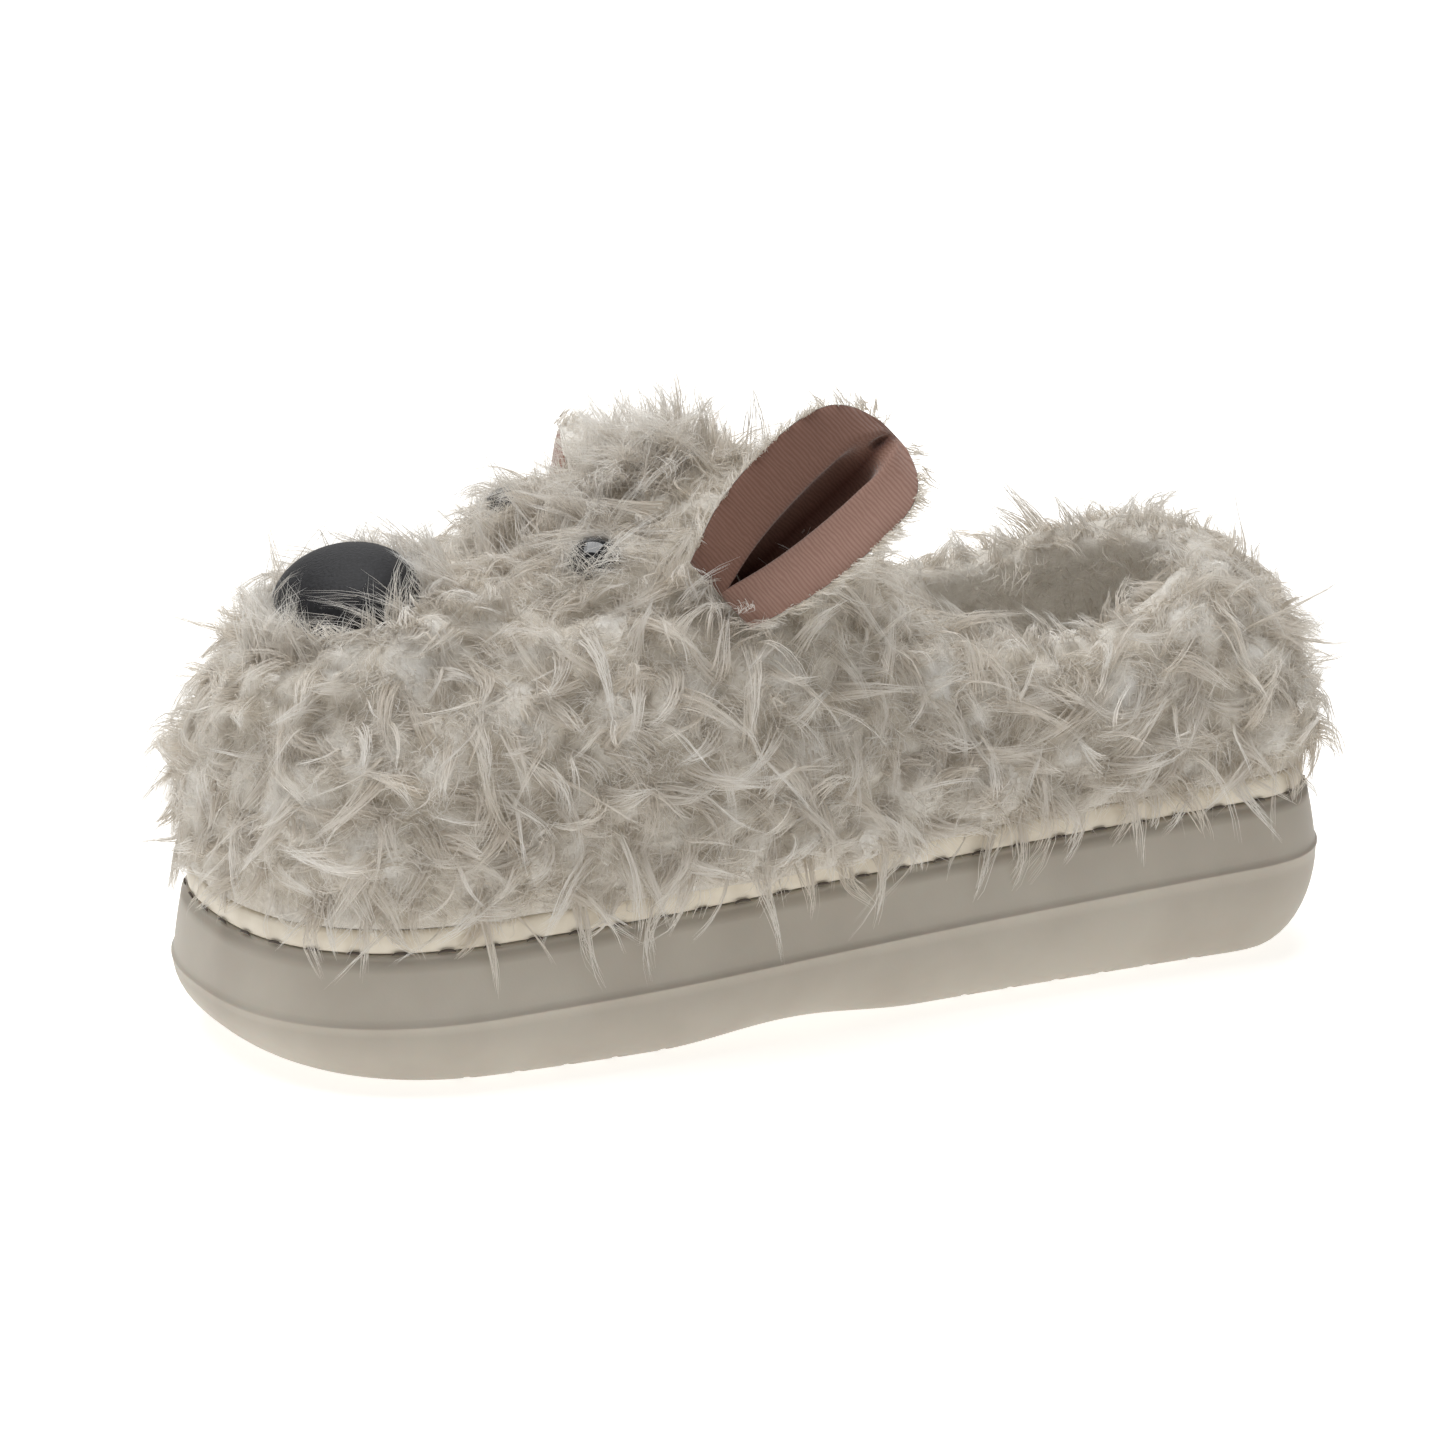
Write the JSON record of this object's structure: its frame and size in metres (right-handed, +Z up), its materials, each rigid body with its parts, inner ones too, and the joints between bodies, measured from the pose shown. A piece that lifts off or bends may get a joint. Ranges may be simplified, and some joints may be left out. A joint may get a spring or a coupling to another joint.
{
  "type": "plush slipper",
  "caption": "Closed-back plush slipper with an animal's face, floppy ears and shaggy fur on a thick moulded platform sole.",
  "frame": {"origin": "on the ground under the middle of the heel, on a land of the tread", "axes": "+Z up, -Y to the toe, +X to the wearer's outer side"},
  "size_m": [0.1583, 0.2996, 0.1502],
  "materials": {
    "sole_foam": "moulded closed-cell foam, satin, warm off-white",
    "insole_cloth": "short brushed pile on a foam pad",
    "welt_strip": "smooth cream coated cloth strip, lightly creased",
    "fur": "long curly cream faux fur with tan roots",
    "gloss_black": "polished black",
    "velour": "dusty pink short-pile velour"
  },
  "bodies": {
    "root": {"sole": "sole_foam", "insole": "insole_cloth", "welt": "welt_strip", "upper": "fur", "nose": "gloss_black", "eye_left": "gloss_black", "eye_right": "gloss_black", "ear_left": "fur", "ear_right": "fur", "ear_lining_left": "velour", "ear_lining_right": "velour"}
  },
  "joints": []
}
